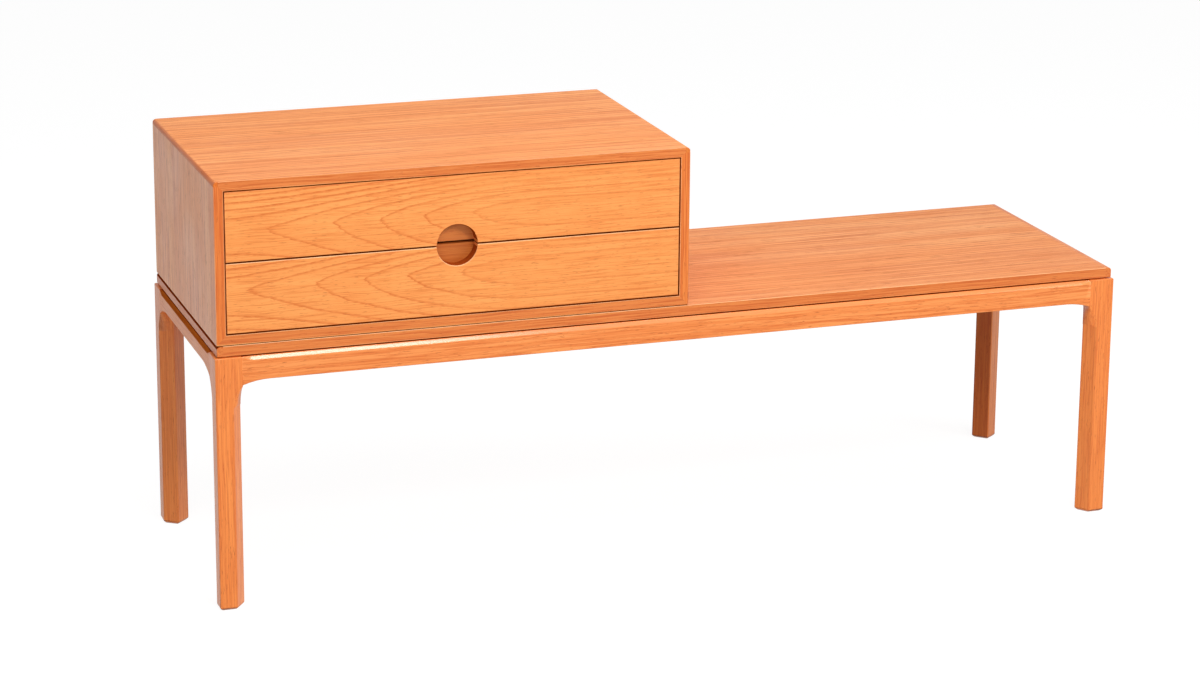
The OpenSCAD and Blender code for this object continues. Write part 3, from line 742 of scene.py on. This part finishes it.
def soften(piece, width, wanted):
    """Rounds the sharp edges that wanted(middle, run) picks."""

    def pick():
        picked = [edge for edge, middle, run in sharp_edges(piece) if wanted(middle, run)]
        if not picked:
            raise RuntimeError(f"{piece.name} has no edge to round")
        return picked

    select_only(piece, "EDGE", pick)
    bpy.ops.mesh.bevel(
        offset=width, segments=BEVEL_STEPS, profile=0.5, affect="EDGES", clamp_overlap=False
    )
    close_mesh()


def split_faces(piece, across_x):
    """Splits the piece's faces along an upright plane across the bench."""
    open_mesh(piece, "FACE", "SELECT")
    bpy.ops.mesh.bisect(plane_co=(across_x, 0.0, 0.0), plane_no=(1.0, 0.0, 0.0))
    close_mesh()


def finish_piece(piece, material, body, nodes):
    """Smooths the rounded edges, gives the piece its wood and ties it to its body."""
    take_up(piece)
    bpy.ops.object.shade_smooth_by_angle(angle=SMOOTH_ANGLE)
    bpy.ops.object.modifier_add(type="WEIGHTED_NORMAL")
    piece.modifiers[-1].keep_sharp = True
    bpy.ops.object.modifier_apply(modifier=piece.modifiers[-1].name)
    piece.data.materials.clear()
    piece.data.materials.append(material)
    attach(piece, body)
    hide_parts(*nodes)


def give_faces(piece, material, wanted):
    """Gives the faces that wanted(normal, centre) picks a finish of their own."""

    def pick():
        picked = [face for face in piece.data.polygons if wanted(face.normal, face.center)]
        if not picked:
            raise RuntimeError(f"{piece.name} has no face for {material.name}")
        return picked

    take_up(piece)
    bpy.ops.object.material_slot_add()
    piece.material_slots[-1].material = material
    piece.active_material_index = len(piece.material_slots) - 1
    select_only(piece, "FACE", pick)
    bpy.ops.object.material_slot_assign()
    close_mesh()


def dress(material, *nodes):
    """Gives CAD nodes their material."""
    for node in nodes:
        piece = frame["nodes"][node]
        if not piece.material_slots:
            piece.data.materials.append(material)
        for slot in piece.material_slots:
            slot.material = material


def near(a, b):
    """Tells whether two coordinates are the same."""
    return abs(a - b) < SAME_PLACE


# Selects the rounded upper edges and bevels, where the script paints highlights or shade
def upper_rounding(normal, centre):
    """Faces of the rounded upper edges and bevels."""
    return SLOPING < normal.z < LEVEL


def dusky(normal, centre):
    """Faces of the rounded lower edges."""
    return -LEVEL < normal.z < -SLOPING


def leg_edges(middle, run):
    """Long upright edges of a leg, and the edges of its foot's bevel."""
    upright = abs(run.z) > ALONG * run.length and run.length > LONG_LEG_EDGE
    return upright or FOOT_BEVEL_BOTTOM < middle.z < FOOT_BEVEL_TOP


def rail_edges(low, high, long_one):
    """Picks the edges along a rail's faces, clear of the legs and of the ends of its bevel."""
    along, across = (0, 1) if long_one else (1, 0)

    def shown(middle, run):
        to_face = min(abs(middle[across] - low[across]), abs(middle[across] - high[across]))
        return (
            abs(run[along]) > MOSTLY * run.length
            and to_face < RAIL_FACE
            and low[along] + RAIL_END < middle[along] < high[along] - RAIL_END
            and not high.z - RAIL_BEVEL_PART <= middle.z <= high.z - RAIL_UPPER_PART
        )

    return shown


def board_edges(low, high):
    """Picks the seat board's long edges."""

    def long_edge(middle, run):
        at_side = near(middle.y, low.y) or near(middle.y, high.y)
        at_face = near(middle.z, low.z) or near(middle.z, high.z)
        return at_side and at_face and abs(run.x) > ALONG * run.length

    return long_edge


def end_lipping_edges(low, high, left):
    """Picks the outer edges of a lipping at the board's end, save the right one's upper edge."""
    outer, inner = (low.x, high.x) if left else (high.x, low.x)

    def outside(middle, run):
        rounded = near(middle.z, low.z) or left and near(middle.z, high.z)
        at_side = near(middle.y, low.y) or near(middle.y, high.y)
        return near(middle.x, outer) and rounded or at_side and not near(middle.x, inner)

    return outside


# Operators


class BenchOperator:
    """Shared settings of the bench's operators."""

    bl_options = {"REGISTER", "UNDO"}


class BENCH_OT_stage(BenchOperator, bpy.types.Operator):
    """Set up the pale floor, the soft light and the camera"""

    bl_idname = "bench.stage"
    bl_label = "Stage"

    def execute(self, context):
        sizes = context.scene.bench_stage
        scene = context.scene
        scene.view_settings.view_transform = "Standard"
        scene.world = studio_world(sizes.fill)

        rest_selection()
        bpy.ops.mesh.primitive_plane_add(size=sizes.floor, location=(0, 0, 0))
        floor = context.object
        floor.name = "floor"
        floor.data.materials.append(pale_floor())

        # Each lamp stands in its direction from the aim, at its distance, and faces the aim
        for name, direction, distance, size, power in (
            ("key", (0.12, -0.80, 0.59), 3.4, (1.0, 0.75), sizes.key),
            ("front", (-0.45, -0.86, 0.35), 3.4, (1.8, 1.3), sizes.front),
            ("side", (0.75, -0.60, 0.30), 3.4, (1.6, 1.2), sizes.side),
            ("overhead", (0.05, -0.25, 0.97), 2.6, (2.4, 1.6), sizes.overhead),
        ):
            lamp = bpy.data.lights.new(name, "AREA")
            lamp.shape = "RECTANGLE"
            lamp.size, lamp.size_y = size
            lamp.energy = power
            box = bpy.data.objects.new(name, lamp)
            scene.collection.objects.link(box)
            box.location = LAMP_AIM + Vector(direction).normalized() * distance
            box.rotation_euler = (LAMP_AIM - box.location).to_track_quat("-Z", "Y").to_euler()

        view = bpy.data.cameras.new("camera")
        view.sensor_width = SENSOR_WIDTH
        view.lens = sizes.lens
        view.shift_y = CAMERA_SHIFT
        view.clip_start, view.clip_end = CLIP_NEAR, CLIP_FAR
        camera = bpy.data.objects.new("camera", view)
        scene.collection.objects.link(camera)
        turn = camera_turn(CAMERA_YAW, CAMERA_PITCH, CAMERA_ROLL)
        camera.matrix_world = Matrix.Translation(CAMERA_PLACE) @ turn
        scene.camera = camera
        return {"FINISHED"}


class BENCH_OT_frame(BenchOperator, bpy.types.Operator):
    """Build the four legs and the four rails with softened edges"""

    bl_idname = "bench.frame"
    bl_label = "Frame"

    def execute(self, context):
        edges, woods = context.scene.bench_edges, context.scene.bench_woods
        arris = highlight_wood("rail_bevel_teak", toned(woods.rail, RAIL_BEVEL_TONE))
        # Dark tone for the rails' top faces, seen through the gap under the board: painted shade
        joint_shade = shaded_wood("rail_gap_shade_teak", woods.rail)
        # The side rails' bevels get a dark dull wood: painted shadow of the seat board
        shaded_side_bevel = wood(
            "side_rail_bevel_shade_teak",
            toned(woods.rail, SIDE_BEVEL_SHADE_TONE),
            "along_y",
            looks={**RAIL_LOOKS, "rough": 0.7, "specular": 0.0},
        )
        inner_face_shade = wood(
            "leg_inner_shade_teak",
            toned(woods.frame, INNER_FACE_SHADE_TONE),
            "upright",
            looks={"streak": 0.7, "fleck": 0.7, "pore": 0.7},
        )
        # Each leg's shade factor darkens the back legs as painted shade
        for i, (node, shade) in enumerate(zip(LEGS, LEG_SHADES)):
            piece = merged_copy(node, node + "_oiled")
            soften(piece, edges.leg, leg_edges)
            material = wood(
                node + "_teak",
                toned(woods.frame, (shade, shade, shade)),
                "upright",
                place=(0.31 * i, 0.7 + 0.4 * i, 0.2 * i),
                rings={
                    "Heart Depth": 0.16 + 0.05 * i,
                    "Taper": 0.012,
                    "Pitch": 0.0032,
                    "Waviness": 0.008,
                },
                looks=LEG_LOOKS,
            )
            finish_piece(piece, material, "bench", [node])
            # The back right leg's left-facing faces get the darker tone: painted shade
            if node == "back_right_leg":
                give_faces(piece, inner_face_shade, lambda normal, centre: normal.x < -MOSTLY)
        for i, node in enumerate(RAILS):
            low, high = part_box(node)
            piece = merged_copy(node, node + "_oiled")
            long_one = high.x - low.x > high.y - low.y
            soften(piece, edges.rail, rail_edges(low, high, long_one))
            material = wood(
                node + "_teak",
                woods.rail,
                "along_x_front" if long_one else "along_y",
                place=(0.5 * i, 0.3 * i, 0.11 * i),
                rings={
                    "Heart Depth": 0.10,
                    "Heart Height": 0.34,
                    "Taper": 0.02,
                    "Pitch": 0.0042,
                    "Waviness": 0.012,
                },
                looks={**RAIL_LOOKS, "specular": 0.3 if long_one else 0.7},
            )
            finish_piece(piece, material, "bench", [node])
            # The front rail's bevel gets the glossy arris wood, the side rails' bevels the painted
            # shadow
            give_faces(piece, arris if long_one else shaded_side_bevel, upper_rounding)
            # The rails' top faces are darkened: painted shade in the gap under the seat board
            give_faces(piece, joint_shade, lambda normal, centre: normal.z > LEVEL)
        return {"FINISHED"}


class BENCH_OT_seat_board(BenchOperator, bpy.types.Operator):
    """Build the seat board and its lippings"""

    bl_idname = "bench.seat_board"
    bl_label = "Seat Board"

    def execute(self, context):
        edges, woods = context.scene.bench_edges, context.scene.bench_woods
        low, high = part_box("seat_board")
        piece = merged_copy("seat_board", "seat_board_veneered")
        soften(piece, edges.board, board_edges(low, high))
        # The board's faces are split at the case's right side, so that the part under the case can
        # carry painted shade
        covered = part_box("case_right_side")[1].x - UNDER_CASE
        split_faces(piece, covered)
        material = wood(
            "board_veneer",
            toned(woods.top, BOARD_TONE),
            "along_x_top",
            place=(0.2, 0.0, 0.0),
            rings={
                "Heart Depth": 0.20,
                "Heart Height": 0.5,
                "Taper": 0.02,
                "Pitch": 0.0075,
                "Waviness": 0.02,
            },
            looks=TOP_LOOKS,
        )
        finish_piece(piece, material, "bench", ["seat_board"])
        # The rounded long edges are mixed paler: painted highlight
        give_faces(piece, highlight_wood("board_arris_highlight_teak", woods.top, 0.3), upper_rounding)
        # The veneer under the case is darkened: painted shade in the gap below the case
        board_gap_shade = shaded_wood("board_joint_teak", woods.edge)
        give_faces(
            piece,
            board_gap_shade,
            lambda normal, centre: normal.z > LEVEL
            and centre.z > high.z - SAME_LEVEL
            and centre.x < covered,
        )
        for i, side in enumerate(("front", "back", "left", "right")):
            node = f"board_{side}_lipping"
            low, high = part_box(node)
            long_one = side in ("front", "back")
            material = wood(
                node + "_teak",
                woods.edge,
                "along_x_front" if long_one else "along_y",
                place=(0.3 * i, 0.17 * i, 0.05 * i),
                rings={"Heart Depth": 0.09, "Heart Height": 0.22, "Pitch": 0.0035},
                looks=LIPPING_LOOKS,
            )
            if long_one:
                dress(material, node)
                continue
            piece = merged_copy(node, node + "_rounded")
            soften(piece, edges.board, end_lipping_edges(low, high, side == "left"))
            finish_piece(piece, material, "bench", [node])
            # The left lipping's upper rounding, under the case, is darkened: painted shade
            if side == "left":
                give_faces(piece, board_gap_shade, upper_rounding)
        return {"FINISHED"}


class BENCH_OT_case(BenchOperator, bpy.types.Operator):
    """Build the case's panels, lippings and corner strips"""

    bl_idname = "bench.case"
    bl_label = "Case"

    def execute(self, context):
        edges, woods = context.scene.bench_edges, context.scene.bench_woods
        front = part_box("case_top")[0].y
        core = (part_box("case_bottom")[0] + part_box("case_top")[1]) / 2
        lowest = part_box("case_bottom")[0].z
        # Painted shade on the case's inner faces and its lowest front rounding, painted highlights on
        # its front upper arrises
        under_shade = shaded_wood("case_foot_shade_teak", woods.side, CASE_FOOT_SHADE_TONE)
        joint_shade = shaded_wood("case_inner_shade_teak", woods.side)
        top_arris = highlight_wood("case_top_arris_highlight_teak", woods.top, 0.5)
        bottom_arris = highlight_wood("case_bottom_arris_highlight_teak", woods.edge, 0.6)

        def front_edge(middle, run):
            straight = max(abs(run.x), abs(run.z)) > ALONG * run.length
            return near(middle.y, front) and straight and run.length > LONG_CASE_EDGE

        def inside(normal, centre):
            faces_in = normal.dot(core - centre) > CASE_INSIDE or normal.z < -SQUARE
            square = max(abs(normal.x), abs(normal.z)) > SQUARE
            return faces_in and square and centre.y > front + SAME_LEVEL

        def inside_top(normal, centre):
            lower_edge = dusky(normal, centre) and abs(normal.x) < SLIGHTLY
            return inside(normal, centre) or lower_edge

        def lowest_edge(normal, centre):
            return dusky(normal, centre) and centre.z < lowest + LOWEST_EDGE

        def front_upper_rounding(normal, centre):
            return upper_rounding(normal, centre) and normal.y < -SLIGHTLY

        for i, node in enumerate(CASE_PANELS):
            piece = merged_copy(node, node + "_veneered")
            soften(piece, edges.case, front_edge)
            level = node in ("case_top", "case_bottom")
            material = wood(
                node + "_veneer",
                woods.top if node == "case_top" else woods.side,
                "along_x_top" if level else "upright",
                place=(0.9, 0.37 * i, 0.3 * i),
                rings={
                    "Heart Depth": 0.24,
                    "Heart Height": 0.45,
                    "Taper": 0.015,
                    "Pitch": 0.007 if level else 0.004,
                    "Waviness": 0.016,
                },
                looks=TOP_LOOKS if level else SIDE_LOOKS,
            )
            finish_piece(piece, material, "bench", [node])
            # Inner faces darkened as painted shade, front arrises paler as painted highlights, the
            # bottom's lowest rounding darkened as painted shade
            give_faces(piece, joint_shade, inside_top if node == "case_top" else inside)
            if node == "case_top":
                give_faces(piece, top_arris, front_upper_rounding)
            elif node == "case_bottom":
                give_faces(piece, under_shade, lowest_edge)
                give_faces(piece, bottom_arris, front_upper_rounding)
        for i, side in enumerate(("top", "bottom", "left", "right")):
            long_one = side in ("top", "bottom")
            material = wood(
                f"case_{side}_lipping_teak",
                woods.edge if long_one else toned(woods.edge, UPRIGHT_LIPPING_TONE),
                "along_x_front" if long_one else "upright",
                place=(0.41 * i, 0.2 * i, 0.06 * i),
                rings={"Heart Depth": 0.12, "Heart Height": 0.25, "Pitch": 0.0038},
                looks=LIPPING_LOOKS,
            )
            dress(material, f"case_{side}_lipping")
        strip_top = wood(
            "strip_top_teak", woods.top, "along_x_top", place=(0.9, 0.0, 0.0), looks=TOP_LOOKS
        )
        for i, side in enumerate(("left", "right")):
            node = f"case_{side}_corner_strip"
            piece = merged_copy(node, node + "_rounded")
            soften(
                piece,
                edges.case,
                lambda middle, run: near(middle.y, front) and middle.z > STRIP_UPPER_PART,
            )
            # The left strip's darker tone is painted shade
            material = wood(
                node + "_teak",
                toned(woods.edge, LEFT_STRIP_SHADE_TONE) if side == "left" else woods.edge,
                "along_y",
                place=(0.6 * i, 0.2, 0.1 * i),
                rings={"Heart Depth": 0.12, "Heart Height": 0.25, "Pitch": 0.0035},
                looks={"line": 0.35, "fleck": 0.5, "specular": 0.12},
            )
            finish_piece(piece, material, "bench", [node])
            give_faces(piece, strip_top, lambda normal, centre: normal.z > FACING)
        return {"FINISHED"}


class BENCH_OT_drawers(BenchOperator, bpy.types.Operator):
    """Build the drawer fronts with the shared finger pull, and the drawer boxes"""

    bl_idname = "bench.drawers"
    bl_label = "Drawers"

    def execute(self, context):
        edges, woods = context.scene.bench_edges, context.scene.bench_woods
        # Painted shade on the fronts' edge faces and lower roundings, a painted highlight on the
        # lower front's upper rounding
        joint_shade = shaded_wood("front_joint_shade_teak", woods.front, FRONT_JOINT_SHADE_TONE)
        foot_shade = shaded_wood("front_foot_shade_teak", woods.front, FRONT_FOOT_SHADE_TONE)
        arris = highlight_wood("front_arris_highlight_teak", woods.front, 0.4)
        for name, heart_up, heart_x, pull_tone in DRAWERS:
            node = f"{name}_drawer_front"
            low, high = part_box(node)
            piece = merged_copy(node, node + "_oiled")
            soften(piece, edges.front, lambda middle, run: near(middle.y, low.y))
            material = wood(
                node + "_teak",
                woods.front,
                "along_x_front",
                place=(-heart_x, -low.y, 0.0),
                rings={**FRONT_RINGS, "Heart Height": low.z + heart_up},
                looks=FRONT_LOOKS,
            )
            finish_piece(piece, material, f"{name}_drawer", [node])
            # The edge faces above and below, the pull's wall and the lower roundings are darkened:
            # painted shade in the gaps
            give_faces(
                piece,
                joint_shade,
                lambda normal, centre: centre.y > low.y + FRONT_EDGE
                and abs(normal.x) < SQUARE
                and normal.y < FACING
                or dusky(normal, centre),
            )
            # The lower front's upper rounding is mixed paler: painted highlight
            if name == "lower":
                give_faces(
                    piece,
                    arris,
                    lambda normal, centre: upper_rounding(normal, centre)
                    and centre.y < low.y + FRONT_EDGE,
                )
            else:
                # The upper front's lowest rounding is darker still: painted shade in the gap between
                # the drawers
                give_faces(
                    piece,
                    foot_shade,
                    lambda normal, centre: dusky(normal, centre)
                    and centre.z < low.z + LOWEST_EDGE,
                )
            backing = wood(
                f"{name}_pull_backing_teak",
                toned(woods.pull, pull_tone),
                "along_x_front",
                place=(0.3, 0.2, 0.0),
                rings={"Heart Height": low.z, "Pitch": 0.003},
                looks={"fleck": 0.5, "streak": 0.5},
            )
            dress(backing, f"{name}_pull_backing")
            for i, part in enumerate(("left_side", "right_side", "back")):
                node = f"{name}_drawer_{part}"
                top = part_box(node)[1].z
                piece = merged_copy(node, node + "_planed")
                soften(
                    piece,
                    edges.inner,
                    lambda middle, run: near(middle.z, top) and middle.y > high.y + BEHIND_FRONT,
                )
                material = wood(
                    node + "_wood",
                    woods.box,
                    "along_x_front" if part == "back" else "along_y",
                    place=(0.2 * i, 0.1 * i, 0.3 * i),
                    rings={"Heart Depth": 0.2, "Heart Height": 0.3},
                    looks={"line": 0.25, "fleck": 0.2},
                )
                finish_piece(piece, material, f"{name}_drawer", [node])
        return {"FINISHED"}


class BENCH_OT_inner_parts(BenchOperator, bpy.types.Operator):
    """Finish the bearers, runners, panels, spacers and screws"""

    bl_idname = "bench.inner_parts"
    bl_label = "Inner Parts"

    def execute(self, context):
        woods = context.scene.bench_woods
        beech = wood(
            "beech_along_depth",
            woods.beech,
            "along_y",
            rings={"Heart Depth": 0.3, "Pitch": 0.003},
            looks={"line": 0.2, "rough": 0.6},
        )
        dress(beech, *BEARERS, *RUNNERS)
        for name, grain, nodes in (
            ("birch_ply", "along_x_front", ("case_back",)),
            ("birch_ply_level", "along_x_top", LEVEL_PLY),
        ):
            ply = wood(
                name,
                woods.ply,
                grain,
                rings={"Heart Depth": 0.2, "Heart Height": 0.4, "Pitch": 0.006},
                looks={"line": 0.25, "rough": 0.55},
            )
            dress(ply, *nodes)
        dress(steel("zinc_steel"), *SCREWS)
        return {"FINISHED"}


class BENCH_PT_panel(bpy.types.Panel):
    """Builds the bench step by step"""

    bl_label = "Telephone Bench"
    bl_idname = "BENCH_PT_panel"
    bl_space_type = "VIEW_3D"
    bl_region_type = "UI"
    bl_category = "Bench"

    def draw(self, context):
        scene = context.scene
        for operator in STEPS:
            self.layout.operator(operator.bl_idname)
        for group in (scene.bench_edges, scene.bench_woods, scene.bench_stage):
            box = self.layout.box()
            for name in group.__annotations__:
                box.prop(group, name)


STEPS = (
    BENCH_OT_stage,
    BENCH_OT_frame,
    BENCH_OT_seat_board,
    BENCH_OT_case,
    BENCH_OT_drawers,
    BENCH_OT_inner_parts,
)
CLASSES = (BenchEdges, BenchWoods, BenchStage, *STEPS, BENCH_PT_panel)


def register():
    for one in CLASSES:
        bpy.utils.register_class(one)
    bpy.types.Scene.bench_edges = PointerProperty(type=BenchEdges)
    bpy.types.Scene.bench_woods = PointerProperty(type=BenchWoods)
    bpy.types.Scene.bench_stage = PointerProperty(type=BenchStage)


def unregister():
    del bpy.types.Scene.bench_stage
    del bpy.types.Scene.bench_woods
    del bpy.types.Scene.bench_edges
    for one in reversed(CLASSES):
        bpy.utils.unregister_class(one)


def main():
    register()
    growth_ring_group()
    fibre_group()
    bpy.ops.bench.stage()
    bpy.ops.bench.frame()
    bpy.ops.bench.seat_board()
    bpy.ops.bench.case()
    bpy.ops.bench.drawers()
    bpy.ops.bench.inner_parts()
    rest_selection()


if __name__ == "__main__":
    main()
